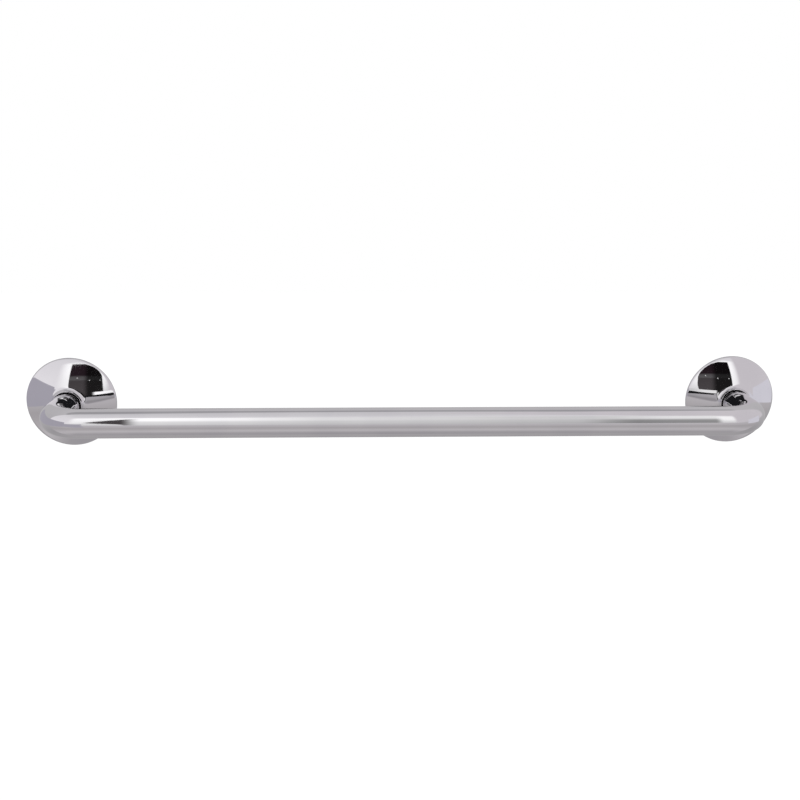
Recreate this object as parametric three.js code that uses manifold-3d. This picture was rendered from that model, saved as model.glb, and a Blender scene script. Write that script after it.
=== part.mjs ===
// A straight wall-mounted grab rail: a bent tube whose two legs run through round flange plates, with a domed
// cover on each leg that hides the plate and its three screws. Each cover slides along its leg on a rubber ring.
// Millimetres. X runs along the rail, Z is up and +Y points into the wall, whose face is the plane Y = 0.
// The origin lies on the wall face, midway between the two legs.
import * as THREE from "three";
import { mergeVertices } from "three/addons/utils/BufferGeometryUtils.js";
import Module from "manifold-3d";

const wasm = await Module();
wasm.setup();

// ---- Driving sizes ----

const LEG_CENTRES = 600; // between the axes of the two legs
const STANDOFF = 77.5; // from the wall to the rail's centreline
const BEND_RADIUS = 28; // of the centreline
const TUBE_DIAMETER = 25;
const TUBE_WALL = 1.5;
const TUBE_SETBACK = 0.5; // the tube's cut ends lie this far in from the wall face

const COVER_DIAMETER = 81;
const COVER_SHEET = 0.9;
const COVER_SKIRT = 0.3; // straight part of the rim, next to the wall
const COVER_RIM_RADIUS = 3; // outside radius from the skirt into the dome
const COVER_DOME_RADIUS = 58; // the dome's curvature at its crown: its slope is the distance from the axis over this
const COLLAR_FILLET = 5; // outside radius from the dome up into the collar
const COLLAR_STRAIGHT = 0.3; // straight part of the collar, along the tube
const COVER_FIT = 0.3; // between the collar and the tube, on the radius

const GRIP_RING_CORD = 2; // thickness of the rubber ring's round section
const TOUCHING = 0.3; // what is left between two pieces that touch

const PLATE_DIAMETER = 70;
const PLATE_THICKNESS = 3;
const PLATE_EDGE_BREAK = 0.6;
const WELD_LEG = 2.5; // the fillet weld between the plate and the tube
const WELD_BULGE = 0.35; // how far its face stands out from a straight bevel, as a share of its leg

const SCREW_CIRCLE = 50; // diameter of the circle that the three screws lie on
const SCREW_HOLE = 5.5;
const SCREW_DIAMETER = 5;
const SCREW_LENGTH = 40;
const SCREW_HEAD = 9.8;
const SCREW_HEAD_RIM = 0.3; // the thin straight edge of the head
const SCREW_PLAIN = 5; // length of the plain shank under the head
const SCREW_BODY = 4; // diameter of that plain shank
const SCREW_POINT = 7; // length of the tapered point
const SCREW_SINK = 0.2; // how far the head lies below the plate's front
const RECESS_WIDTH = 5; // across the cross recess, tip to tip
const RECESS_ARM = 1.1;
const RECESS_DEPTH = 2;

const PLUG_DIAMETER = 8;
const PLUG_LENGTH = 30;
const PLUG_LIP = 1; // thickness of the lip at the plug's mouth
const PLUG_LIP_STEP = 0.7; // how far the lip stands proud of the plug
const PLUG_PLAIN = 2; // plain length behind the lip, and again before the far end
const PLUG_BARBS = 4;
const PLUG_BARB_DEPTH = 0.5;
const PLUG_SOLID_MOUTH = 9; // length of the unsplit part
const PLUG_SLOT = 1;

// ---- What follows from them ----

const TUBE_RADIUS = TUBE_DIAMETER / 2;
const LEG_X = LEG_CENTRES / 2;
const COLLAR_INSIDE = TUBE_RADIUS + COVER_FIT;
const COLLAR_OUTSIDE = COLLAR_INSIDE + COVER_SHEET;
const SCREW_HEAD_ANGLE = Math.PI / 4; // a ninety degree countersink

// ---- Facets ----

const TUBE_FACETS = 14; // three.js draws a circle with twice this number of sides
const BEND_STEPS = 10;
const COVER_FACETS = 44;
const RING_FACETS = 28;
const PLATE_FACETS = 40;
const SCREW_FACETS = 16;
const PLUG_FACETS = 12;

// ---- Materials ----

const chrome = new THREE.MeshStandardMaterial({ color: 0xdcdcde, metalness: 1, roughness: 0.06 });
const steel = new THREE.MeshStandardMaterial({ color: 0xa9aaac, metalness: 1, roughness: 0.4 });
const zinc = new THREE.MeshStandardMaterial({ color: 0xc2c4c8, metalness: 1, roughness: 0.3 });
const rubber = new THREE.MeshStandardMaterial({ color: 0x1b1b1c, metalness: 0, roughness: 0.75 });
const nylon = new THREE.MeshStandardMaterial({ color: 0x9fa3a6, metalness: 0, roughness: 0.55 });

// ---- Helpers ----

// A geometry as a solid that can be joined and cut.
function solidOf(geometry) {
  const bare = geometry.clone();
  bare.deleteAttribute("normal");
  bare.deleteAttribute("uv");
  const merged = mergeVertices(bare, 1e-4);
  const mesh = new wasm.Mesh({
    numProp: 3,
    vertProperties: merged.attributes.position.array,
    triVerts: new Uint32Array(merged.index.array),
  });
  return new wasm.Manifold(mesh);
}

// A solid as a geometry again.
function geometryOf(solid) {
  const mesh = solid.getMesh();
  const geometry = new THREE.BufferGeometry();
  geometry.setAttribute("position", new THREE.BufferAttribute(mesh.vertProperties, 3));
  geometry.setIndex(new THREE.BufferAttribute(mesh.triVerts, 1));
  geometry.computeVertexNormals();
  return geometry;
}

// A turned shape about the Y axis. Its profile is a list of [radius, height], and heights rise from the wall
// face towards -Y.
function turned(profile, facets) {
  const points = profile.map(([radius, height]) => new THREE.Vector2(radius, height));
  return new THREE.LatheGeometry(points, facets).rotateX(Math.PI);
}

// Points of an arc in a profile, from one angle to another, both included.
function arc(centreRadius, centreHeight, radius, from, to, steps) {
  return Array.from({ length: steps + 1 }, (_, i) => {
    const angle = from + ((to - from) * i) / steps;
    return [centreRadius + radius * Math.cos(angle), centreHeight + radius * Math.sin(angle)];
  });
}

function piece(name, geometry, material) {
  const mesh = new THREE.Mesh(geometry, material);
  mesh.name = name;
  return mesh;
}

// ---- Rail tube ----

// The rail's centreline: up one leg, round a bend, along the rail, round the other bend and down to the wall.
// The straight stretches take one step each, so that all the others go into the bends.
class RailCentreline extends THREE.Curve {
  constructor() {
    super();
    this.steps = 2 * BEND_STEPS + 3;
  }
  getPoint(t, target = new THREE.Vector3()) {
    const mirrored = t > 0.5;
    const step = this.steps * (mirrored ? 1 - t : t);
    const legEnd = STANDOFF - BEND_RADIUS;
    const turn = (Math.PI / 2) * THREE.MathUtils.clamp((step - 1) / BEND_STEPS, 0, 1);
    const bendX = LEG_X - BEND_RADIUS * (1 - Math.cos(turn));
    const alongMiddle = Math.max(0, step - 1 - BEND_STEPS) * 2;
    const x = bendX * (1 - alongMiddle);
    const legHeight = TUBE_SETBACK + (legEnd - TUBE_SETBACK) * Math.min(1, step);
    const height = legHeight + BEND_RADIUS * Math.sin(turn);
    return target.set(mirrored ? x : -x, -height, 0);
  }
  // The steps are set out by hand above, so they aren't spread evenly by length.
  getUtoTmapping(u) {
    return u;
  }
}

function makeRailTube() {
  const section = new THREE.Shape().absarc(0, 0, TUBE_RADIUS, 0, 2 * Math.PI);
  section.holes.push(new THREE.Path().absarc(0, 0, TUBE_RADIUS - TUBE_WALL, 0, 2 * Math.PI, true));
  const centreline = new RailCentreline();
  const geometry = new THREE.ExtrudeGeometry(section, {
    steps: centreline.steps,
    extrudePath: centreline,
    curveSegments: TUBE_FACETS,
  });
  return piece("rail_tube", geometry, chrome);
}

// ---- Covers ----

// The cover's outside, from the wall to the lip of its collar: skirt, rolled rim, dome, fillet and collar.
// A positive inset gives the inside of the sheet, that far in.
function coverSide(inset) {
  const rimCentre = COVER_DIAMETER / 2 - COVER_RIM_RADIUS;
  const slopeAt = (radius) => Math.atan(radius / COVER_DOME_RADIUS);
  // The rim's arc ends where its direction meets the dome's.
  let rimEnd = Math.PI / 2;
  for (let i = 0; i < 20; i++) {
    rimEnd = Math.PI / 2 - slopeAt(rimCentre + COVER_RIM_RADIUS * Math.cos(rimEnd));
  }
  const domeStart = rimCentre + COVER_RIM_RADIUS * Math.cos(rimEnd);
  const domeStartHeight = COVER_SKIRT + COVER_RIM_RADIUS * Math.sin(rimEnd);
  const domeHeight = (radius) =>
    domeStartHeight + (domeStart ** 2 - radius ** 2) / (2 * COVER_DOME_RADIUS);
  // The fillet touches the dome and the collar.
  const filletCentre = COLLAR_OUTSIDE + COLLAR_FILLET;
  let domeEnd = filletCentre;
  for (let i = 0; i < 20; i++) {
    domeEnd = filletCentre - COLLAR_FILLET * Math.sin(slopeAt(domeEnd));
  }
  const domeEndSlope = slopeAt(domeEnd);
  const filletHeight = domeHeight(domeEnd) + COLLAR_FILLET * Math.cos(domeEndSlope);
  const domeSteps = 4;
  const dome = Array.from({ length: domeSteps - 1 }, (_, i) => {
    const radius = domeStart + ((domeEnd - domeStart) * (i + 1)) / domeSteps;
    const slope = slopeAt(radius);
    return [radius - inset * Math.sin(slope), domeHeight(radius) - inset * Math.cos(slope)];
  });
  const profile = [
    [COVER_DIAMETER / 2 - inset, 0],
    ...arc(rimCentre, COVER_SKIRT, COVER_RIM_RADIUS - inset, 0, rimEnd, 3),
    ...dome,
    ...arc(filletCentre, filletHeight, COLLAR_FILLET + inset, -Math.PI / 2 - domeEndSlope, -Math.PI, 3),
    [COLLAR_OUTSIDE - inset, filletHeight + COLLAR_STRAIGHT],
  ];
  return { profile, filletCentre, filletHeight };
}

const coverOutside = coverSide(0);
const coverInside = coverSide(COVER_SHEET);

// A spun and pressed sheet cap.
function makeCover(side) {
  const profile = [...coverOutside.profile, ...coverInside.profile.toReversed()];
  profile.push(profile[0]);
  return piece(`${side}_cover`, turned(profile, COVER_FACETS), chrome);
}

// ---- Grip rings ----

// The rubber ring that the cover rides on. It hugs the tube and sits under the turn of the cover's collar.
function makeGripRing(side) {
  const cordRadius = GRIP_RING_CORD / 2;
  const centre = TUBE_RADIUS + TOUCHING + cordRadius;
  const reach = COLLAR_FILLET + COVER_SHEET + TOUCHING + cordRadius;
  const drop = Math.sqrt(reach ** 2 - (coverOutside.filletCentre - centre) ** 2);
  const section = arc(centre, coverOutside.filletHeight - drop, cordRadius, 0, 2 * Math.PI, 8);
  section[section.length - 1] = section[0];
  return piece(`${side}_grip_ring`, turned(section, RING_FACETS), rubber);
}

// ---- Flange plates ----

// One screw hole is on the outer side of the leg and the other two clear the rail that runs over the plate.
const SCREW_PLACES = [
  { name: "outer", turn: 0 },
  { name: "upper", turn: (2 * Math.PI) / 3 },
  { name: "lower", turn: (-2 * Math.PI) / 3 },
];

function screwPlace(turn, outward) {
  const radius = SCREW_CIRCLE / 2;
  return new THREE.Vector3(outward * radius * Math.cos(turn), 0, radius * Math.sin(turn));
}

// A round plate with a countersunk hole for each screw, the hole for the tube and the weld round the tube.
function makeFlangePlate(side, outward) {
  const edge = PLATE_DIAMETER / 2;
  const bore = TUBE_RADIUS + TOUCHING;
  const weldMiddle = WELD_LEG * (0.5 + WELD_BULGE / 2);
  const disc = solidOf(
    turned(
      [
        [bore, 0],
        [edge, 0],
        [edge, PLATE_THICKNESS - PLATE_EDGE_BREAK],
        [edge - PLATE_EDGE_BREAK, PLATE_THICKNESS],
        [bore + WELD_LEG, PLATE_THICKNESS],
        [bore + weldMiddle, PLATE_THICKNESS + weldMiddle],
        [bore, PLATE_THICKNESS + WELD_LEG],
        [bore, 0],
      ],
      PLATE_FACETS,
    ),
  );
  // The countersink keeps the touching gap to the screw's head, measured square to the cone.
  const headRadius = SCREW_HEAD / 2 + SCREW_HEAD_RIM + SCREW_SINK + TOUCHING * Math.SQRT2;
  const holeRadius = SCREW_HOLE / 2;
  const over = 1; // how far the cutter runs past both faces
  const cutter = turned(
    [
      [0, -over],
      [holeRadius, -over],
      [holeRadius, PLATE_THICKNESS - (headRadius - holeRadius) / Math.tan(SCREW_HEAD_ANGLE)],
      [headRadius, PLATE_THICKNESS],
      [headRadius + over, PLATE_THICKNESS + over],
      [0, PLATE_THICKNESS + over],
    ],
    SCREW_FACETS,
  );
  let plate = disc;
  for (const { turn } of SCREW_PLACES) {
    const { x, y, z } = screwPlace(turn, outward);
    plate = plate.subtract(solidOf(cutter.clone().translate(x, y, z)));
  }
  return piece(`${side}_flange_plate`, geometryOf(plate), steel);
}

// ---- Screws ----

const SCREW_TOP = PLATE_THICKNESS - SCREW_SINK;

// A countersunk wood screw with a cross recess, its point in the wall.
function makeScrew(name) {
  const headRadius = SCREW_HEAD / 2;
  const bodyRadius = SCREW_BODY / 2;
  const threadRadius = SCREW_DIAMETER / 2;
  const headEdge = SCREW_TOP - SCREW_HEAD_RIM;
  const headBottom = headEdge - (headRadius - bodyRadius) / Math.tan(SCREW_HEAD_ANGLE);
  const plainEnd = headBottom - SCREW_PLAIN;
  const tip = SCREW_TOP - SCREW_LENGTH;
  const blank = solidOf(
    turned(
      [
        [0, tip],
        [threadRadius, tip + SCREW_POINT],
        [threadRadius, plainEnd - 1],
        [bodyRadius, plainEnd],
        [bodyRadius, headBottom],
        [headRadius, headEdge],
        [headRadius, SCREW_TOP],
        [0, SCREW_TOP],
      ],
      SCREW_FACETS,
    ),
  );
  const reach = RECESS_WIDTH / 2;
  const arm = RECESS_ARM / 2;
  const over = 1; // how far the cutter stands above the head
  const cross = new THREE.Shape();
  for (let quarter = 0; quarter < 4; quarter++) {
    const corner = [[reach, -arm], [reach, arm], [arm, arm]];
    for (const [x, y] of corner) {
      const point = new THREE.Vector2(x, y).rotateAround(new THREE.Vector2(), (quarter * Math.PI) / 2);
      if (quarter === 0 && y === -arm) cross.moveTo(point.x, point.y);
      else cross.lineTo(point.x, point.y);
    }
  }
  const recess = new THREE.ExtrudeGeometry(cross, { depth: RECESS_DEPTH + over, bevelEnabled: false })
    .rotateX(Math.PI / 2)
    .translate(0, RECESS_DEPTH - SCREW_TOP, 0);
  return piece(name, geometryOf(blank.subtract(solidOf(recess))), zinc);
}

// ---- Wall plugs ----

// A nylon expansion plug in the wall behind the plate, split along its length so that the screw spreads it.
function makeWallPlug(name) {
  const bore = SCREW_DIAMETER / 2 + TOUCHING;
  const outside = PLUG_DIAMETER / 2;
  const mouth = -TOUCHING;
  const barbsStart = mouth - PLUG_LIP - PLUG_PLAIN;
  const pitch = (PLUG_LENGTH - PLUG_LIP - 2 * PLUG_PLAIN) / PLUG_BARBS;
  const barbs = [];
  for (let i = 0; i < PLUG_BARBS; i++) {
    const start = barbsStart - i * pitch;
    barbs.push([outside, start], [outside - PLUG_BARB_DEPTH, start - pitch * 0.9]);
  }
  const profile = [
    [bore, mouth],
    [bore, mouth - PLUG_LENGTH],
    [outside - 2 * PLUG_BARB_DEPTH, mouth - PLUG_LENGTH],
    ...barbs.reverse(),
    [outside, mouth - PLUG_LIP],
    [outside + PLUG_LIP_STEP, mouth - PLUG_LIP],
    [outside + PLUG_LIP_STEP, mouth],
    [bore, mouth],
  ];
  const body = solidOf(turned(profile, PLUG_FACETS));
  const slotLength = PLUG_LENGTH - PLUG_SOLID_MOUTH;
  const over = 1; // how far the cutter runs past the plug's end and sides
  const slot = new THREE.BoxGeometry(PLUG_DIAMETER + 2 * over, slotLength, PLUG_SLOT);
  slot.translate(0, PLUG_SOLID_MOUTH + slotLength / 2 + over, 0);
  return piece(name, geometryOf(body.subtract(solidOf(slot))), nylon);
}

// ---- Assembly ----

const grabRail = new THREE.Group();
grabRail.add(makeRailTube());
for (const [side, outward] of [["left", -1], ["right", 1]]) {
  const fitting = new THREE.Group();
  fitting.position.x = outward * LEG_X;
  fitting.add(makeCover(side), makeGripRing(side), makeFlangePlate(side, outward));
  for (const { name, turn } of SCREW_PLACES) {
    const screw = makeScrew(`${side}_screw_${name}`);
    const plug = makeWallPlug(`${side}_wall_plug_${name}`);
    screw.position.copy(screwPlace(turn, outward));
    plug.position.copy(screw.position);
    fitting.add(screw, plug);
  }
  grabRail.add(fitting);
}

export default grabRail;
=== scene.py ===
import math

import bmesh
import bpy
from mathutils import Matrix, Vector


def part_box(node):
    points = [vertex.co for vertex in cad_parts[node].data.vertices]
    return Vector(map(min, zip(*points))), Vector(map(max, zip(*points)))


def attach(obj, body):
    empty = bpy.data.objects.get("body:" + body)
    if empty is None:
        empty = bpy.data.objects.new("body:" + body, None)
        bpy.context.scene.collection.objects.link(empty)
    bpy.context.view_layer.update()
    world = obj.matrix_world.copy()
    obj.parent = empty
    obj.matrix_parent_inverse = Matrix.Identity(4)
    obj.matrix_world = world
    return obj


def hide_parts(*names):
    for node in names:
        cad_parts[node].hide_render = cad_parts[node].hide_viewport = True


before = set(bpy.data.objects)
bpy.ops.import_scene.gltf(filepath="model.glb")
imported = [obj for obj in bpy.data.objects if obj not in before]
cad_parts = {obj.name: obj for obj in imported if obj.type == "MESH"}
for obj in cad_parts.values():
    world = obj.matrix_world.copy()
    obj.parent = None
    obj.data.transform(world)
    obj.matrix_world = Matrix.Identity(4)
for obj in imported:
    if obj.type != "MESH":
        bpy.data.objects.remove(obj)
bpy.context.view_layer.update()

# ---- Rail tube ----
# One length of 25 mm steel tube with a 1.5 mm wall, bent at both ends into two legs, polished along
# its length and chromed. Its cut ends stop half a millimetre short of the wall.

MM = 0.001
BEND_RADIUS = 28 * MM  # of the centreline
TUBE_WALL = 1.5 * MM
CUT_EDGE = 0.2 * MM  # the bevel on the cut ends
FIT = 0.3 * MM  # clearance round the tube
JOINED = 0.0005 * MM  # points nearer than this are one
TUBE_SIDES = 96
BEND_STEPS = 40

tube_low, tube_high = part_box("rail_tube")
tube_radius = (tube_high.z - tube_low.z) / 2
leg_x = tube_high.x - tube_radius
rail_y = tube_low.y + tube_radius
SIDES = {"left": -leg_x, "right": leg_x}


def edges_in(parts):
    return [part for part in parts if isinstance(part, bmesh.types.BMEdge)]


def carried(bm, loop, **way):
    """Spins a loop of edges along a stretch and gives the loop at its far end."""
    return edges_in(bmesh.ops.spin(bm, geom=loop, use_duplicate=False, **way)["geom_last"])


def tube_side(bm, radius):
    """One side of the tube's wall, from the left cut end to the right. Gives the loops at both ends."""
    upright = Matrix.Rotation(math.pi / 2, 4, "X")
    start = Matrix.Translation((-leg_x, tube_high.y, 0)) @ upright
    circle = bmesh.ops.create_circle(bm, segments=TUBE_SIDES, radius=radius, matrix=start)
    first = list({edge for vert in circle["verts"] for edge in vert.link_edges})
    leg = Vector((0, rail_y + BEND_RADIUS - tube_high.y, 0))
    bend_x = leg_x - BEND_RADIUS
    straight = {"axis": (0, 0, 1), "angle": 0, "steps": 1}
    bend = {"axis": (0, 0, 1), "angle": math.pi / 2, "steps": BEND_STEPS}
    loop = carried(bm, first, dvec=leg, **straight)
    loop = carried(bm, loop, cent=(-bend_x, rail_y + BEND_RADIUS, 0), **bend)
    loop = carried(bm, loop, dvec=(2 * bend_x, 0, 0), **straight)
    loop = carried(bm, loop, cent=(bend_x, rail_y + BEND_RADIUS, 0), **bend)
    return first, carried(bm, loop, dvec=-leg, **straight)


def put(tree, kind, sockets=None, **settings):
    """Adds a node with its settings. Each socket takes a value or another node's output."""
    made = tree.nodes.new(kind)
    for name, value in settings.items():
        setattr(made, name, value)
    for name, value in (sockets or {}).items():
        if isinstance(value, bpy.types.NodeSocket):
            tree.links.new(value, made.inputs[name])
        else:
            made.inputs[name].default_value = value
    return made


def sum_up(tree, operation, *values):
    """A Math node's result."""
    return put(tree, "ShaderNodeMath", dict(enumerate(values)), operation=operation).outputs[0]


def combined(tree, operation, *vectors):
    """A Vector Math node's vector."""
    return put(tree, "ShaderNodeVectorMath", dict(enumerate(vectors)), operation=operation).outputs[0]


def blended(tree, share, first, second):
    """A colour between two others."""
    mix = put(tree, "ShaderNodeMix", {"Factor": share}, data_type="RGBA")
    for socket, value in ((mix.inputs[6], first), (mix.inputs[7], second)):
        if isinstance(value, bpy.types.NodeSocket):
            tree.links.new(value, socket)
        else:
            socket.default_value = (*value, 1)
    return mix.outputs[2]


def faded(tree, value, start, end, low=0.0, high=1.0):
    """Goes smoothly from low at start to high at end."""
    sockets = {"Value": value, "From Min": start, "From Max": end, "To Min": low, "To Max": high}
    return put(tree, "ShaderNodeMapRange", sockets, interpolation_type="SMOOTHSTEP").outputs[0]


def new_group(name, inputs, outputs):
    """An empty node group, its inputs as nodes see them and the node that its results go to."""
    tree = bpy.data.node_groups.new(name, "ShaderNodeTree")
    for in_out, sockets in (("INPUT", inputs), ("OUTPUT", outputs)):
        for label, kind in sockets.items():
            tree.interface.new_socket(name=label, in_out=in_out, socket_type=f"NodeSocket{kind}")
    given = tree.nodes.new("NodeGroupInput").outputs
    return tree, given, tree.nodes.new("NodeGroupOutput").inputs


def use_group(tree, name, **values):
    """Places a node group. An underscore in a value's name stands for a space."""
    sockets = {label.replace("_", " "): value for label, value in values.items()}
    return put(tree, "ShaderNodeGroup", sockets, node_tree=bpy.data.node_groups[name]).outputs


# A finish that drifts a little from place to place, between two colours.
tree, given, result = new_group(
    "colour drift",
    {"Vector": "Vector", "Scale": "Float", "First": "Color", "Second": "Color"},
    {"Color": "Color"},
)
drift = put(tree, "ShaderNodeTexNoise", {"Vector": given["Vector"], "Scale": given["Scale"], "Detail": 4})
share = faded(tree, drift.outputs["Fac"], 0.35, 0.65)
tree.links.new(blended(tree, share, given["First"], given["Second"]), result["Color"])

# Wiped hands and cloths leave patches that are a little duller than the clean metal.
tree, given, result = new_group(
    "smudges",
    {"Vector": "Vector", "Scale": "Float", "Clean": "Float", "Dull": "Float"},
    {"Roughness": "Float"},
)
patches = put(
    tree,
    "ShaderNodeTexNoise",
    {"Vector": given["Vector"], "Scale": given["Scale"], "Detail": 5, "Distortion": 0.8},
)
specks = put(tree, "ShaderNodeTexNoise", {"Vector": given["Vector"], "Scale": 900, "Detail": 2})
patch = faded(tree, patches.outputs["Fac"], 0.42, 0.75)
speck = faded(tree, specks.outputs["Fac"], 0.6, 0.8, 0.0, 0.5)
dull = sum_up(tree, "MAXIMUM", patch, speck)
spread = sum_up(tree, "SUBTRACT", given["Dull"], given["Clean"])
tree.links.new(sum_up(tree, "MULTIPLY_ADD", dull, spread, given["Clean"]), result["Roughness"])

# Fine marks of the polishing wheel or of a lathe tool: crests and hairlines that run across the
# vector's first axis, which the material stretches to suit its piece.
tree, given, result = new_group(
    "tool marks", {"Vector": "Vector", "Hairlines": "Float"}, {"Height": "Float"}
)
crests = put(tree, "ShaderNodeTexNoise", {"Vector": given["Vector"], "Scale": 1, "Detail": 3})
thin = put(tree, "ShaderNodeTexNoise", {"Vector": given["Vector"], "Scale": 2.3, "Detail": 1})
hairline = faded(tree, thin.outputs["Fac"], 0.66, 0.72)
cut = sum_up(tree, "MULTIPLY", hairline, given["Hairlines"])
tree.links.new(sum_up(tree, "SUBTRACT", crests.outputs["Fac"], cut), result["Height"])

# The polished steel under the chrome is never quite flat: long shallow waves.
tree, given, result = new_group("slow waves", {"Vector": "Vector", "Scale": "Float"}, {"Height": "Float"})
waves = put(tree, "ShaderNodeTexNoise", {"Vector": given["Vector"], "Scale": given["Scale"], "Detail": 1})
tree.links.new(waves.outputs["Fac"], result["Height"])

# The way round a leg: a vector whose first axis grows with the distance from the leg, and that
# distance.
tree, given, result = new_group(
    "round a leg",
    {"Vector": "Vector", "Leg": "Vector", "Fineness": "Float"},
    {"Vector": "Vector", "Radius": "Float"},
)
from_leg = combined(tree, "SUBTRACT", given["Vector"], given["Leg"])
flat = combined(tree, "MULTIPLY", from_leg, (1, 0, 1))
radius = put(tree, "ShaderNodeVectorMath", {0: flat}, operation="LENGTH").outputs["Value"]
way = combined(tree, "NORMALIZE", flat)
way = put(tree, "ShaderNodeSeparateXYZ", {0: way}).outputs
fine = sum_up(tree, "MULTIPLY", radius, given["Fineness"])
around = put(tree, "ShaderNodeCombineXYZ", {"X": fine, "Y": way["X"], "Z": way["Z"]}).outputs[0]
tree.links.new(around, result["Vector"])
tree.links.new(radius, result["Radius"])


def new_material(name):
    """A material with its shader and its Object coordinates."""
    material = bpy.data.materials.new(name)
    material.use_nodes = True
    place = put(material.node_tree, "ShaderNodeTexCoord").outputs["Object"]
    return material, material.node_tree, material.node_tree.nodes["Principled BSDF"], place


def set_sockets(shader, tree, **values):
    for label, value in values.items():
        socket = shader.inputs[label.replace("_", " ")]
        if isinstance(value, bpy.types.NodeSocket):
            tree.links.new(value, socket)
        else:
            socket.default_value = value


def bumpy(tree, height, strength, depth, under=None):
    """A normal that follows a height, on top of another normal if there is one."""
    sockets = {"Height": height, "Strength": strength, "Distance": depth}
    if under:
        sockets["Normal"] = under
    return put(tree, "ShaderNodeBump", sockets).outputs[0]


def drifting(tree, place, scale, first, second):
    """The colour drift between two colours."""
    return use_group(
        tree, "colour drift", Vector=place, Scale=scale, First=(*first, 1), Second=(*second, 1)
    )["Color"]


def grained(name, metallic, drift, smudge, grain):
    """A material whose colour drifts, with duller patches and a fine grain.

    The drift is its scale and two colours, the smudges are their scale and the clean and the dull
    roughness, and the grain is its scale, detail, strength and depth.
    """
    material, tree, shader, place = new_material(name)
    tint = drifting(tree, place, *drift)
    scale, clean, dull = smudge
    rough = use_group(tree, "smudges", Vector=place, Scale=scale, Clean=clean, Dull=dull)["Roughness"]
    scale, detail, strength, depth = grain
    noise = put(tree, "ShaderNodeTexNoise", {"Vector": place, "Scale": scale, "Detail": detail})
    bump = bumpy(tree, noise.outputs["Fac"], strength, depth)
    set_sockets(shader, tree, Base_Color=tint, Metallic=metallic, Roughness=rough, Normal=bump)
    return material


def chrome(name, leg=None):
    """Polished chrome. The polish runs along the tube, or round the leg at that place."""
    material, tree, shader, place = new_material(name)
    if leg is None:
        lay = put(tree, "ShaderNodeMapping", {"Vector": place, "Scale": (14, 900, 900)}).outputs[0]
    else:
        lay = use_group(tree, "round a leg", Vector=place, Leg=leg, Fineness=1400.0)["Vector"]
    marks = use_group(tree, "tool marks", Vector=lay, Hairlines=0.8)["Height"]
    waves = use_group(tree, "slow waves", Vector=place, Scale=38.0)["Height"]
    shape = bumpy(tree, waves, 0.12, 0.12 * MM, bumpy(tree, marks, 0.03, 0.02 * MM))
    tint = drifting(tree, place, 30.0, (0.80, 0.79, 0.81), (0.83, 0.82, 0.835))
    dull = use_group(tree, "smudges", Vector=place, Scale=26.0, Clean=0.03, Dull=0.075)["Roughness"]
    set_sockets(shader, tree, Base_Color=tint, Metallic=1.0, Roughness=dull, Normal=shape)
    return material


SHARP = math.radians(35)  # edges turned by more than this stay crisp


def finish_piece(bm, name, material, body, slot, *nodes):
    """Turns a bmesh into a piece that rides on a body and stands for its CAD nodes."""
    bmesh.ops.remove_doubles(bm, verts=bm.verts, dist=JOINED)
    bmesh.ops.recalc_face_normals(bm, faces=bm.faces)
    mesh = bpy.data.meshes.new(name)
    bm.to_mesh(mesh)
    bm.free()
    mesh.shade_smooth()
    mesh.set_sharp_from_angle(angle=SHARP)
    mesh.materials.append(material)
    made = bpy.data.objects.new(name, mesh)
    bpy.context.scene.collection.objects.link(made)
    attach(made, body)
    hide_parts(*nodes)
    return made


bm = bmesh.new()
outside = tube_side(bm, tube_radius)
inside = tube_side(bm, tube_radius - TUBE_WALL)
for outer, inner in zip(outside, inside):
    bmesh.ops.bridge_loops(bm, edges=outer + inner)
cut_edges = [edge for loop in outside + inside for edge in loop]
bmesh.ops.bevel(bm, geom=cut_edges, offset=CUT_EDGE, segments=2, profile=0.5, affect="EDGES", material=-1)
finish_piece(bm, "polished_tube", chrome("tube chrome"), "rail", "polished_chrome", "rail_tube")

# ---- Covers ----
# Caps of 0.9 mm sheet, spun over a former and pressed through in the middle, then polished and
# chromed. Each has a small rolled rim at the wall, a dome, and a short collar that clears the tube
# by 0.3 mm.

SHEET = 0.9 * MM
SKIRT = 0.3 * MM  # straight part of the rim
RIM_RADIUS = 3 * MM
DOME_RADIUS = 58 * MM  # the dome's slope is the distance from the leg over this
COLLAR_FILLET = 5 * MM
COLLAR_OUTSIDE = tube_radius + FIT + SHEET
COVER_SIDES = 192

cover_low, cover_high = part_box("left_cover")
cover_radius = (cover_high.x - cover_low.x) / 2
cover_height = -cover_low.y


def arc(centre, radius, start, end, steps):
    """Points of an arc in a profile, from one angle to another, both included."""
    turns = [start + (end - start) * i / steps for i in range(steps + 1)]
    return [(centre[0] + radius * math.cos(turn), centre[1] + radius * math.sin(turn)) for turn in turns]


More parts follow.
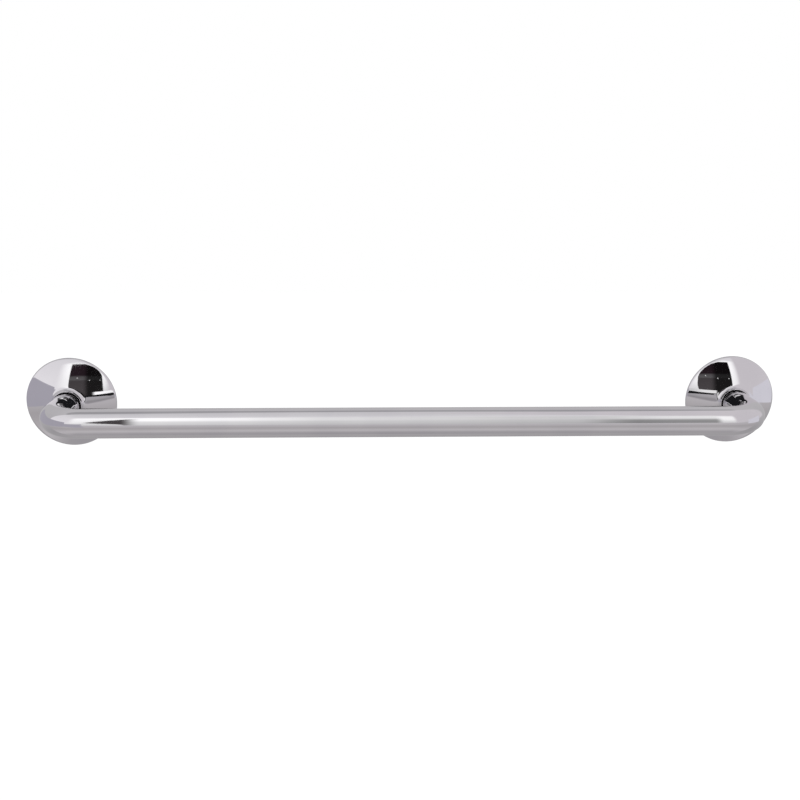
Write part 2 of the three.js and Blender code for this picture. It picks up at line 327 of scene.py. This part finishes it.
def cover_side(inset):
    """The cover's outside from the wall to the lip of its collar, or its inside where it is set in."""
    rim_centre = cover_radius - RIM_RADIUS
    rim_end = math.pi / 2
    for _ in range(20):
        rim_end = math.atan2(DOME_RADIUS, rim_centre + RIM_RADIUS * math.cos(rim_end))
    dome_start = rim_centre + RIM_RADIUS * math.cos(rim_end)
    start_height = SKIRT + RIM_RADIUS * math.sin(rim_end)
    fillet_centre = COLLAR_OUTSIDE + COLLAR_FILLET
    dome_end = fillet_centre
    for _ in range(20):
        dome_end = fillet_centre - COLLAR_FILLET * math.sin(math.atan(dome_end / DOME_RADIUS))
    end_slope = math.atan(dome_end / DOME_RADIUS)
    dome = []
    dome_steps = 26
    for i in range(1, dome_steps):
        radius = dome_start + (dome_end - dome_start) * i / dome_steps
        height = start_height + (dome_start**2 - radius**2) / (2 * DOME_RADIUS)
        slope = math.atan(radius / DOME_RADIUS)
        dome.append((radius - inset * math.sin(slope), height - inset * math.cos(slope)))
    end_height = start_height + (dome_start**2 - dome_end**2) / (2 * DOME_RADIUS)
    fillet_height = end_height + COLLAR_FILLET * math.cos(end_slope)
    rim = arc((rim_centre, SKIRT), RIM_RADIUS - inset, 0, rim_end, 10)
    fillet = arc(
        (fillet_centre, fillet_height), COLLAR_FILLET + inset, -math.pi / 2 - end_slope, -math.pi, 10
    )
    return [*rim, *dome, *fillet]


def turned(bm, profile, steps, centre=(0, 0)):
    """Spins a closed profile of (radius, height) about the Y axis, or about a line beside it."""
    x, z = centre
    verts = [bm.verts.new((x + radius, -height, z)) for radius, height in profile]
    edges = [bm.edges.new(pair) for pair in zip(verts, verts[1:] + verts[:1])]
    way = {"cent": (x, 0, z), "axis": (0, 1, 0), "angle": 2 * math.pi, "steps": steps}
    bmesh.ops.spin(bm, geom=verts + edges, use_merge=True, use_duplicate=False, **way)


lip_radius = SHEET / 2
wall_lip = arc((cover_radius - lip_radius, lip_radius), lip_radius, -math.pi, 0, 8)
collar_lip = arc((COLLAR_OUTSIDE - lip_radius, cover_height - lip_radius), lip_radius, 0, math.pi, 8)
cover_profile = [*cover_side(0)[1:], *collar_lip, *reversed(cover_side(SHEET)[1:]), *wall_lip]
for side, x in SIDES.items():
    bm = bmesh.new()
    turned(bm, cover_profile, COVER_SIDES, (x, 0))
    material = chrome(f"{side} cover chrome", (x, 0, 0))
    finish_piece(bm, f"{side}_cover_cap", material, f"{side}_cover", "polished_chrome", f"{side}_cover")

# ---- Grip rings ----
# Rings of 2 mm round rubber cord, moulded in one piece, that grip the tube under each collar, so
# that the cover stays where it is pushed. A faint parting line runs round each.

RING_SIDES = 120
PARTING_RIDGE = 0.04 * MM

ring_rubber = grained(
    "ring rubber",
    metallic=0.0,
    drift=(220.0, (0.012, 0.012, 0.013), (0.03, 0.029, 0.028)),
    smudge=(180.0, 0.55, 0.85),
    grain=(2600, 3, 0.35, 0.05 * MM),
)

for side, x in SIDES.items():
    ring = f"{side}_grip_ring"
    low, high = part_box(ring)
    cord = (high.y - low.y) / 2
    middle = (high.x - low.x) / 2 - cord
    section = arc((middle, -(low.y + high.y) / 2), cord - PARTING_RIDGE, 0, 2 * math.pi, 24)[:-1]
    section[0] = (middle + cord, section[0][1])
    bm = bmesh.new()
    turned(bm, section, RING_SIDES, (x, 0))
    finish_piece(bm, f"{side}_rubber_ring", ring_rubber, ring, "ring_rubber", ring)

# ---- Flange plates ----
# Round 3 mm steel plates turned on a lathe, with three countersunk holes, slipped over the leg and
# joined to it by a fillet weld. The weld's heat has left straw, brown and blue rings on the steel.

PLATE_THICKNESS = 3 * MM
PLATE_EDGE = 0.6 * MM
WELD_LEG = 2.5 * MM
WELD_PASSES = 52  # ripples round the weld
SCREW_HOLE = 5.5 * MM
HEAD_SINK = 5.95 * MM  # radius of the countersink at the plate's face
PLATE_SIDES = 160
plate_bore = tube_radius + FIT
plate_radius = (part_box("left_flange_plate")[1].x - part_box("left_flange_plate")[0].x) / 2
SCREWS = ("outer", "upper", "lower")


def as_object(bm, name):
    mesh = bpy.data.meshes.new(name)
    bm.to_mesh(mesh)
    bm.free()
    made = bpy.data.objects.new(name, mesh)
    bpy.context.scene.collection.objects.link(made)
    return made


def carved(bm, cutter):
    """What is left of one solid after another is cut out of it."""
    bmesh.ops.recalc_face_normals(bm, faces=bm.faces)
    bmesh.ops.recalc_face_normals(cutter, faces=cutter.faces)
    blank, tool = as_object(bm, "blank"), as_object(cutter, "tool")
    cut = blank.modifiers.new("cut", "BOOLEAN")
    cut.operation = "DIFFERENCE"
    cut.solver = "EXACT"
    cut.object = tool
    bpy.context.view_layer.update()
    ready = blank.evaluated_get(bpy.context.evaluated_depsgraph_get())
    left = bmesh.new()
    left.from_mesh(ready.to_mesh())
    ready.to_mesh_clear()
    for used in (blank, tool):
        mesh = used.data
        bpy.data.objects.remove(used)
        bpy.data.meshes.remove(mesh)
    return left


def plate_steel(name, leg):
    """Turned steel with the rings that the weld's heat leaves round the leg."""
    material, tree, shader, place = new_material(name)
    lay = use_group(tree, "round a leg", Vector=place, Leg=leg, Fineness=5200.0)
    marks = use_group(tree, "tool marks", Vector=lay["Vector"], Hairlines=0.5)["Height"]
    colour = drifting(tree, place, 60.0, (0.50, 0.50, 0.51), (0.58, 0.575, 0.57))
    ragged = put(tree, "ShaderNodeTexNoise", {"Vector": place, "Scale": 160, "Detail": 3}).outputs["Fac"]
    ragged = sum_up(tree, "MULTIPLY_ADD", ragged, 1.6 * MM, lay["Radius"])
    straw = (23.0, 3.0, (0.55, 0.45, 0.27))
    brown = (20.5, 2.0, (0.30, 0.19, 0.16))
    blue = (18.6, 1.6, (0.16, 0.19, 0.30))
    for reach, width, tint in (straw, brown, blue):
        share = faded(tree, ragged, reach * MM, (reach - width) * MM, 0.0, 0.75)
        colour = blended(tree, share, colour, tint)
    dull = use_group(tree, "smudges", Vector=place, Scale=90.0, Clean=0.28, Dull=0.45)["Roughness"]
    bump = bumpy(tree, marks, 0.25, 0.03 * MM)
    set_sockets(shader, tree, Base_Color=colour, Metallic=1.0, Roughness=dull, Normal=bump)
    return material


weld_steel = grained(
    "weld bead",
    metallic=1.0,
    drift=(400.0, (0.30, 0.27, 0.25), (0.45, 0.43, 0.42)),
    smudge=(300.0, 0.3, 0.6),
    grain=(1500, 3, 0.3, 0.06 * MM),
)

for side, x in SIDES.items():
    bm = bmesh.new()
    edge = PLATE_EDGE
    plate_profile = [
        (plate_bore, 0),
        *arc((plate_radius - edge / 3, edge / 3), edge / 3, -math.pi / 2, 0, 3),
        *arc((plate_radius - edge, PLATE_THICKNESS - edge), edge, 0, math.pi / 2, 6),
        (plate_bore, PLATE_THICKNESS),
    ]
    turned(bm, plate_profile, PLATE_SIDES, (x, 0))
    for screw in SCREWS:
        low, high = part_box(f"{side}_screw_{screw}")
        centre = ((low.x + high.x) / 2, (low.z + high.z) / 2)
        hole = SCREW_HOLE / 2
        cutter = bmesh.new()
        cutter_profile = [
            (0, -MM),
            (hole, -MM),
            (hole, PLATE_THICKNESS - (HEAD_SINK - hole)),
            (HEAD_SINK + MM, PLATE_THICKNESS + MM),
            (0, PLATE_THICKNESS + MM),
        ]
        turned(cutter, cutter_profile, 64, centre)
        bmesh.ops.remove_doubles(cutter, verts=cutter.verts, dist=JOINED)
        bm = carved(bm, cutter)
    material = plate_steel(f"{side} plate steel", (x, 0, 0))
    finish_piece(bm, f"{side}_plate", material, "rail", "plate_steel", f"{side}_flange_plate")

    bm = bmesh.new()
    bead = arc((plate_bore, PLATE_THICKNESS), WELD_LEG * 0.94, 0, math.pi / 2, 8)
    turned(bm, [(plate_bore, PLATE_THICKNESS), *bead], WELD_PASSES * 8, (x, 0))
    for vert in bm.verts:
        turn = math.atan2(vert.co.z, vert.co.x - x)
        off = Vector((vert.co.x - x, 0, vert.co.z)).normalized() * plate_bore
        root = Vector((x, -PLATE_THICKNESS, 0)) + off
        lean = abs(vert.co.y - root.y) / WELD_LEG
        ripple = 0.965 + 0.06 * abs(math.sin(turn * WELD_PASSES / 2 + lean)) + 0.015 * math.sin(5 * turn)
        vert.co = root + (vert.co - root) * ripple
    finish_piece(bm, f"{side}_weld", weld_steel, "rail", "plate_steel", f"{side}_flange_plate")

# ---- Screws ----
# Countersunk wood screws of 5 x 40 mm, cold headed with a cross recess, the thread rolled, then
# zinc plated. They hold the plate to the wall through the plugs.

HEAD_RADIUS = 4.9 * MM
HEAD_RIM = 0.3 * MM
SHANK_RADIUS = 2 * MM
CORE_RADIUS = 1.7 * MM
THREAD_RADIUS = 2.5 * MM
PLAIN_SHANK = 5 * MM
THREAD_PITCH = 2.2 * MM
THREAD_STEPS = 24  # in each turn
POINT = 7 * MM
RECESS = (5 * MM, 2 * MM, 1.1 * MM)  # across, deep, and the width of an arm

zinc = grained(
    "zinc plate",
    metallic=1.0,
    drift=(320.0, (0.62, 0.64, 0.68), (0.70, 0.68, 0.60)),
    smudge=(240.0, 0.22, 0.42),
    grain=(1900, 2, 0.15, 0.03 * MM),
)


def screw_blank(top, tip):
    """The screw without its thread, its recess cut, on the Y axis. Heights are from the wall face."""
    head_edge = top - HEAD_RIM
    head_bottom = head_edge - (HEAD_RADIUS - SHANK_RADIUS)
    plain_end = head_bottom - PLAIN_SHANK
    bm = bmesh.new()
    blank_profile = [
        (0, top),
        (HEAD_RADIUS - HEAD_RIM / 3, top),
        (HEAD_RADIUS, top - HEAD_RIM / 3),
        (HEAD_RADIUS, head_edge),
        (SHANK_RADIUS, head_bottom),
        (SHANK_RADIUS, plain_end),
        (CORE_RADIUS, plain_end - MM),
        (CORE_RADIUS, tip + POINT),
        (0, tip),
    ]
    turned(bm, blank_profile, 48)
    bmesh.ops.remove_doubles(bm, verts=bm.verts, dist=JOINED)
    across, deep, arm = RECESS
    for quarter in (0, 1):
        cutter = bmesh.new()
        bmesh.ops.create_cube(cutter, size=1)
        for vert in cutter.verts:
            narrowing = 0.55 if vert.co.y > 0 else 1.1
            vert.co.x *= narrowing
        bmesh.ops.scale(cutter, verts=cutter.verts, vec=(across, 2 * deep, arm))
        bmesh.ops.rotate(cutter, verts=cutter.verts, matrix=Matrix.Rotation(quarter * math.pi / 2, 3, "Y"))
        bmesh.ops.translate(cutter, verts=cutter.verts, vec=(0, -top, 0))
        bm = carved(bm, cutter)
    return bm, plain_end


def add_thread(bm, start, tip):
    """Winds the thread round the core, from the plain shank to a point at the tip."""
    half = THREAD_PITCH * 0.36
    sunk = CORE_RADIUS - 0.15 * MM
    section = [(sunk, -half), (THREAD_RADIUS, -0.05 * MM), (THREAD_RADIUS, 0.05 * MM), (sunk, half)]
    verts = [bm.verts.new((radius, -(start - half) + along, 0)) for radius, along in section]
    loop = [bm.edges.new(pair) for pair in zip(verts, verts[1:] + verts[:1])]
    turns = (start - tip - THREAD_PITCH) / THREAD_PITCH
    steps = int(turns * THREAD_STEPS)
    way = {"axis": (0, 1, 0), "angle": turns * 2 * math.pi, "steps": steps}
    wound = bmesh.ops.spin(
        bm, geom=verts + loop, dvec=(0, turns * THREAD_PITCH / steps, 0), use_duplicate=False, **way
    )
    bmesh.ops.contextual_create(bm, geom=loop)
    bmesh.ops.contextual_create(bm, geom=edges_in(wound["geom_last"]))
    for vert in bm.verts:
        radius = math.hypot(vert.co.x, vert.co.z)
        allowed = THREAD_RADIUS * min(1, max(0.02, (-vert.co.y - tip) / POINT))
        if radius > allowed:
            vert.co.x *= allowed / radius
            vert.co.z *= allowed / radius


low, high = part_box("left_screw_outer")
screw, thread_start = screw_blank(-low.y, -high.y)
add_thread(screw, thread_start, -high.y)
for side in SIDES:
    for place_name in SCREWS:
        node = f"{side}_screw_{place_name}"
        low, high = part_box(node)
        bm = screw.copy()
        bmesh.ops.translate(bm, verts=bm.verts, vec=((low.x + high.x) / 2, 0, (low.z + high.z) / 2))
        finish_piece(bm, f"{side}_wood_screw_{place_name}", zinc, "rail", "screw_steel", node)
screw.free()

# ---- Wall plugs ----
# Nylon expansion plugs of 8 x 30 mm, moulded with a lip at the mouth and four barbs, and split
# along most of their length so that the screw spreads them in the wall.

PLUG_RADIUS = 4 * MM
PLUG_BORE = 2.8 * MM
PLUG_LIP = 1 * MM
PLUG_PLAIN = 2 * MM  # behind the lip, and again before the far end
PLUG_BARBS = 4
BARB_DEPTH = 0.5 * MM
PLUG_SOLID_MOUTH = 9 * MM
PLUG_SLOT = 1 * MM

nylon = grained(
    "plug nylon",
    metallic=0.0,
    drift=(110.0, (0.33, 0.35, 0.37), (0.39, 0.405, 0.42)),
    smudge=(140.0, 0.42, 0.62),
    grain=(1700, 3, 0.3, 0.05 * MM),
)
shader = nylon.node_tree.nodes["Principled BSDF"]
shader.inputs["Subsurface Weight"].default_value = 0.08
shader.inputs["Subsurface Scale"].default_value = 0.5 * MM

low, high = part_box("left_wall_plug_outer")
mouth, far_end = -low.y, -high.y
lip_radius = (high.x - low.x) / 2
pitch = (mouth - far_end - PLUG_LIP - 2 * PLUG_PLAIN) / PLUG_BARBS
barbs = []
for i in range(PLUG_BARBS):
    start = mouth - PLUG_LIP - PLUG_PLAIN - i * pitch
    barbs += [(PLUG_RADIUS, start), (PLUG_RADIUS, start - 0.08 * pitch)]
    barbs += [(PLUG_RADIUS - BARB_DEPTH, start - 0.9 * pitch)]
plug_profile = [
    (PLUG_BORE, mouth),
    *arc((lip_radius - PLUG_LIP / 3, mouth - PLUG_LIP / 3), PLUG_LIP / 3, math.pi / 2, 0, 4),
    (lip_radius, mouth - PLUG_LIP),
    (PLUG_RADIUS, mouth - PLUG_LIP),
    *barbs,
    (PLUG_RADIUS - 2 * BARB_DEPTH, far_end),
    (PLUG_BORE, far_end),
]
plug = bmesh.new()
turned(plug, plug_profile, 64)
bmesh.ops.remove_doubles(plug, verts=plug.verts, dist=JOINED)
slot_length = mouth - far_end - PLUG_SOLID_MOUTH
slot_cutter = bmesh.new()
bmesh.ops.create_cube(slot_cutter, size=1)
bmesh.ops.scale(slot_cutter, verts=slot_cutter.verts, vec=(4 * PLUG_RADIUS, slot_length, PLUG_SLOT))
slot_middle = PLUG_SOLID_MOUTH + slot_length / 2 + MM
bmesh.ops.translate(slot_cutter, verts=slot_cutter.verts, vec=(0, slot_middle, 0))
plug = carved(plug, slot_cutter)
for side in SIDES:
    for place_name in SCREWS:
        node = f"{side}_wall_plug_{place_name}"
        low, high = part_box(node)
        bm = plug.copy()
        bmesh.ops.translate(bm, verts=bm.verts, vec=((low.x + high.x) / 2, 0, (low.z + high.z) / 2))
        finish_piece(bm, f"{side}_nylon_plug_{place_name}", nylon, "rail", "plug_nylon", node)
plug.free()

# ---- Studio ----
# A pale floor well below the rail, one large soft lamp, and a light tent round them. The tent opens
# towards the camera, and the chrome shows that dark opening, its bright edges and the tent's walls.

FLOOR_Z = -0.45
FLOOR_HALF = 4.0


def card(name, low, high, material):
    """An upright or level rectangle of the studio, between two corners."""
    size = Vector(high) - Vector(low)
    middle = (Vector(high) + Vector(low)) / 2
    turn = {0: Matrix.Rotation(math.pi / 2, 3, "Y"), 1: Matrix.Rotation(math.pi / 2, 3, "X"), 2: Matrix()}
    thin = min(range(3), key=lambda axis: abs(size[axis]))
    bm = bmesh.new()
    bmesh.ops.create_grid(bm, x_segments=1, y_segments=1, size=0.5)
    bmesh.ops.rotate(bm, verts=bm.verts, matrix=turn[thin].to_3x3())
    bmesh.ops.scale(bm, verts=bm.verts, vec=[abs(length) or 1 for length in size])
    bmesh.ops.translate(bm, verts=bm.verts, vec=middle)
    made = as_object(bm, name)
    made.data.materials.append(material)
    return made


def bare_material(name):
    """A material with no shader yet: its tree, its output and its Object coordinates, one by one."""
    material = bpy.data.materials.new(name)
    material.use_nodes = True
    tree = material.node_tree
    tree.nodes.clear()
    output = tree.nodes.new("ShaderNodeOutputMaterial").inputs["Surface"]
    place = put(tree, "ShaderNodeTexCoord").outputs["Object"]
    return material, tree, output, put(tree, "ShaderNodeSeparateXYZ", {0: place}).outputs


def span(tree, first, second):
    """The length of a step of so much one way and so much the other."""
    squares = [sum_up(tree, "POWER", part, 2) for part in (first, second)]
    return sum_up(tree, "SQRT", sum_up(tree, "ADD", *squares))


floor_white, tree, output, place = bare_material("floor white")
paper = put(tree, "ShaderNodeBsdfDiffuse", {"Color": (0.5, 0.5, 0.5, 1)}).outputs[0]
glow = faded(tree, span(tree, place["X"], place["Y"]), 0.5, 2.5, 0.55, 0.62)
light = put(tree, "ShaderNodeEmission", {"Color": (1, 1, 1, 1), "Strength": glow}).outputs[0]
lit = put(tree, "ShaderNodeAddShader", {0: paper, 1: light}).outputs[0]
clear = put(tree, "ShaderNodeBsdfTransparent").outputs[0]
under = put(tree, "ShaderNodeNewGeometry").outputs["Backfacing"]
tree.links.new(put(tree, "ShaderNodeMixShader", {0: under, 1: lit, 2: clear}).outputs[0], output)
floor = card("floor", (-FLOOR_HALF, -FLOOR_HALF, FLOOR_Z), (FLOOR_HALF, FLOOR_HALF, FLOOR_Z), floor_white)
floor.visible_glossy = False

lamp_data = bpy.data.lights.new("soft_lamp", "AREA")
lamp_data.shape = "SQUARE"
lamp_data.size = 1.4
lamp_data.energy = 8
lamp = bpy.data.objects.new("soft_lamp", lamp_data)
bpy.context.scene.collection.objects.link(lamp)
lamp.location = (-0.5, -0.6, 1.5)
lamp.rotation_euler = (-lamp.location).to_track_quat("-Z", "Y").to_euler()
lamp.visible_glossy = False


def between(tree, value, low, high, soft):
    """One between two limits, zero outside them, with a soft edge."""
    rise = faded(tree, value, low - soft, low + soft)
    return sum_up(tree, "MULTIPLY", rise, faded(tree, value, high - soft, high + soft, 1.0, 0.0))


def ramp(tree, value, low, high, stops):
    """A colour that follows a value between two limits, through stops of (value, grey or colour)."""
    made = put(tree, "ShaderNodeValToRGB", {"Fac": put(
        tree, "ShaderNodeMapRange", {"Value": value, "From Min": low, "From Max": high}
    ).outputs[0]})
    points = made.color_ramp.elements
    while len(points) < len(stops):
        points.new(0.5)
    for point, (at, tone) in zip(points, stops):
        point.position = (at - low) / (high - low)
    for point, (at, tone) in zip(points, stops):
        point.color = (*tone, 1) if isinstance(tone, tuple) else (tone, tone, tone, 1)
    return made.outputs["Color"]


def plain(colour):
    """The same colour all over a card."""
    return lambda tree, place: (*colour, 1)


def tent_card(name, low, high, colour_of, cover_of=None):
    """A card that only reflections show. It has its own light, and hides what is behind it as told."""
    material, tree, output, place = bare_material(name)
    shown = put(tree, "ShaderNodeEmission", {"Color": colour_of(tree, place)}).outputs[0]
    if cover_of:
        clear = put(tree, "ShaderNodeBsdfTransparent").outputs[0]
        shown = put(tree, "ShaderNodeMixShader", {0: cover_of(tree, place), 1: clear, 2: shown}).outputs[0]
    tree.links.new(shown, output)
    made = card(name, low, high, material)
    made.visible_camera = made.visible_diffuse = made.visible_shadow = made.visible_transmission = False


OPENING = (-0.555, 0.59)  # the tent's opening, left to right
OPENING_EDGE = 0.006  # half the width of its soft sides
OPENING_TOP = 1.27
OPENING_Y = -1.02


def opening_colour(tree, place):
    """The dark room beyond the opening, with a faint rail and three lamps, between bright tent edges."""
    room = ramp(tree, place["Z"], 0, 1.4, [
        (0.0, (0.078, 0.070, 0.073)),
        (0.56, (0.062, 0.055, 0.058)),
        (0.6, (0.11, 0.105, 0.108)),
        (0.7, (0.09, 0.085, 0.088)),
        (0.76, (0.020, 0.012, 0.016)),
    ])
    dim = faded(tree, place["X"], -0.12, 0.1, 0.0, 0.85)
    room = blended(tree, dim, room, (0.003, 0.003, 0.003))
    for x, z in ((-0.28, 0.66), (0.124, 0.57), (0.49, 0.57)):
        to_x = sum_up(tree, "SUBTRACT", place["X"], x)
        to_z = sum_up(tree, "SUBTRACT", place["Z"], z)
        away = span(tree, to_x, to_z)
        room = blended(tree, faded(tree, away, 0.017, 0.010), room, (1.2, 1.2, 1.2))
    slant = sum_up(tree, "SUBTRACT", place["X"], faded(tree, place["Z"], 0.35, 0.05, 0.0, 0.085))
    left, right = OPENING
    past_left = faded(tree, slant, left - OPENING_EDGE, left + OPENING_EDGE)
    before_right = faded(tree, place["X"], right - OPENING_EDGE, right + OPENING_EDGE, 1.0, 0.0)
    inside = sum_up(tree, "MULTIPLY", past_left, before_right)
    below = faded(tree, place["Z"], OPENING_TOP + 0.01, OPENING_TOP - 0.01)
    dark = sum_up(tree, "MULTIPLY", inside, below)
    edge = ramp(tree, place["Z"], 0, 1.4, [(0.0, 0.7), (0.4, 1.05), (1.0, 1.2)])
    return blended(tree, dark, edge, room)


def opening_cover(tree, place):
    """Solid over the opening, fading out over the tent at both sides."""
    left = faded(tree, place["X"], -1.15, OPENING[0] - 0.03)
    right = faded(tree, place["X"], 0.95, OPENING[1] + 0.04)
    top = faded(tree, place["Z"], 1.4, OPENING_TOP)
    return sum_up(tree, "MULTIPLY", sum_up(tree, "MULTIPLY", left, right), top)


tent_card("tent_opening", (-1.2, OPENING_Y, 0.0), (1.0, OPENING_Y, 1.4), opening_colour, opening_cover)
PANEL_GREY = (0.42, 0.405, 0.46)


def panel_cover(tree, place):
    """The left panel's top edge is lowest beside the wall."""
    rise = sum_up(tree, "MULTIPLY", sum_up(tree, "ABSOLUTE", place["Y"]), 0.14)
    return faded(tree, sum_up(tree, "SUBTRACT", place["Z"], rise), 0.118, 0.112)


tent_card(
    "tent_left_panel", (-0.7, -0.5, -0.115), (-0.7, 0.4, 0.19), plain(PANEL_GREY), panel_cover
)
tent_card("tent_left_step", (-0.7, -0.5, -0.115), (-0.39, -0.5, 0.07), plain(PANEL_GREY))
tent_card("tent_right_panel", (0.7, -0.3, -0.10), (0.7, 0, 0.08), plain((0.71, 0.70, 0.76)))


def reflector_colour(tree, place):
    """A long white reflector, brighter to the left, with a dim lower edge towards its ends."""
    along = ramp(
        tree,
        place["X"],
        -0.23,
        0.23,
        [(-0.23, 1.3), (-0.15, 1.15), (-0.08, 0.9), (0.09, 0.74), (0.17, 0.72), (0.22, 0.92)],
    )
    up = ramp(tree, place["Z"], 0, 0.025, [(0.001, 0.8), (0.006, 0.95), (0.014, 1.0), (0.024, 0.96)])
    lit = combined(tree, "MULTIPLY", along, up)
    left_end = faded(tree, place["X"], 0.0, -0.2, 0.12, 0.3)
    right_end = faded(tree, place["X"], 0.14, 0.2, 0.0, 0.5)
    lower_edge = faded(tree, place["Z"], 0.015, 0.007)
    dimmed = sum_up(tree, "MULTIPLY", sum_up(tree, "ADD", left_end, right_end), lower_edge)
    return blended(tree, dimmed, lit, (0.0, 0.0, 0.0))


def reflector_cover(tree, place):
    """Solid but for its two ends, which fade out."""
    left_end = faded(tree, place["X"], -0.24, -0.222)
    right_end = faded(tree, place["X"], 0.27, 0.262)
    return sum_up(tree, "MULTIPLY", left_end, right_end)


tent_card("long_reflector", (-0.24, -0.1, 0.0015), (0.27, -0.1, 0.0245), reflector_colour, reflector_cover)


def second_look(tree):
    """One for light that has met bright metal twice, zero before."""
    return faded(tree, put(tree, "ShaderNodeLightPath").outputs["Glossy Depth"], 1.4, 1.6)


# Painted shade: light that a cover throws onto its leg comes from a dark card between the legs and from a
# dark patch overhead, which no single reflection shows. Together they paint a dark reflection round each
# leg's neck.
PAINTED_NECK_SHADE = (0.012, 0.012, 0.014)
# Painted shade: a dark card that only light met by bright metal twice sees
tent_card(
    "painted_neck_shade_card",
    (0, -0.6, 0.05),
    (0, 0.1, 0.9),
    plain(PAINTED_NECK_SHADE),
    lambda tree, place: second_look(tree),
)

world = bpy.data.worlds.new("light_tent")
bpy.context.scene.world = world
world.use_nodes = True
tree = world.node_tree
tree.nodes.clear()
way = put(tree, "ShaderNodeSeparateXYZ", {0: put(tree, "ShaderNodeTexCoord").outputs["Generated"]}).outputs
rise = sum_up(tree, "DEGREES", sum_up(tree, "ARCSINE", way["Z"]))
swing = sum_up(tree, "DEGREES", sum_up(tree, "ARCTAN2", way["X"], sum_up(tree, "MULTIPLY", way["Y"], -1.0)))
front = ramp(
    tree,
    rise,
    -90,
    90,
    [
        (-90, (0.375, 0.36, 0.38)),
        (-68, (0.40, 0.385, 0.40)),
        (-48, (0.56, 0.54, 0.555)),
        (-30, (0.46, 0.44, 0.45)),
        (-24, (0.44, 0.42, 0.43)),
        (-12, (0.52, 0.50, 0.515)),
        (-2, (0.56, 0.54, 0.56)),
        (0, (0.80, 0.79, 0.81)),
        (18, (0.88, 0.86, 0.89)),
        (50, (0.82, 0.805, 0.83)),
        (70, (0.70, 0.69, 0.71)),
        (90, (0.66, 0.65, 0.67)),
    ],
)
back = ramp(
    tree,
    rise,
    -90,
    90,
    [
        (-90, (0.44, 0.425, 0.435)),
        (-40, (0.38, 0.37, 0.38)),
        (0, (0.50, 0.49, 0.50)),
        (58, (0.56, 0.55, 0.565)),
        (62, (0.38, 0.375, 0.39)),
        (74, (0.38, 0.375, 0.39)),
        (80, (0.64, 0.63, 0.65)),
        (90, (0.68, 0.67, 0.69)),
    ],
)
tent = blended(tree, faded(tree, way["Y"], -0.02, 0.02), front, back)
right_wall = sum_up(tree, "MULTIPLY", between(tree, swing, 28, 120, 4), faded(tree, rise, -3, 1))
tent = blended(tree, right_wall, tent, (0.66, 0.63, 0.66))
path = put(tree, "ShaderNodeLightPath").outputs
# Painted shade: for light that has met bright metal twice, the tent overhead in front turns dark, a painted
# dark reflection round each neck
painted_overhead_shade = sum_up(tree, "MULTIPLY", faded(tree, rise, 6, 14), faded(tree, way["Y"], 0.1, -0.1))
painted_overhead_shade = sum_up(tree, "MULTIPLY", painted_overhead_shade, between(tree, swing, -42, 42, 4))
tent = blended(tree, sum_up(tree, "MULTIPLY", second_look(tree), painted_overhead_shade), tent, PAINTED_NECK_SHADE)
plain = blended(tree, path["Is Camera Ray"], (0.85, 0.85, 0.86), (1.0, 1.0, 1.0))
seen = blended(tree, path["Is Glossy Ray"], plain, tent)
background = put(tree, "ShaderNodeBackground", {"Color": seen})
tree.links.new(background.outputs[0], tree.nodes.new("ShaderNodeOutputWorld").inputs["Surface"])
bpy.context.scene.view_settings.view_transform = "Standard"

# ---- Camera ----
# It looks from the front, a little from the left and above, level with a rail on a wall but for a
# slight tilt.

CAMERA_DISTANCE = 0.941
CAMERA_SWING = math.radians(-1.86)
CAMERA_RISE = math.radians(13.68)
CAMERA_TILT = math.radians(0.22)
CAMERA_LENS = 46.36
CAMERA_AIM = Vector((-3.33 * MM, 0, 0.3 * MM))

camera_data = bpy.data.cameras.new("camera")
camera_data.lens = CAMERA_LENS
camera = bpy.data.objects.new("camera", camera_data)
bpy.context.scene.collection.objects.link(camera)
towards = Vector((
    math.sin(CAMERA_SWING) * math.cos(CAMERA_RISE),
    -math.cos(CAMERA_SWING) * math.cos(CAMERA_RISE),
    math.sin(CAMERA_RISE),
))
camera.location = CAMERA_AIM + towards * CAMERA_DISTANCE
level = (-towards).to_track_quat("-Z", "Y").to_matrix().to_4x4()
camera.rotation_euler = (level @ Matrix.Rotation(CAMERA_TILT, 4, "Z")).to_euler()
bpy.context.scene.camera = camera
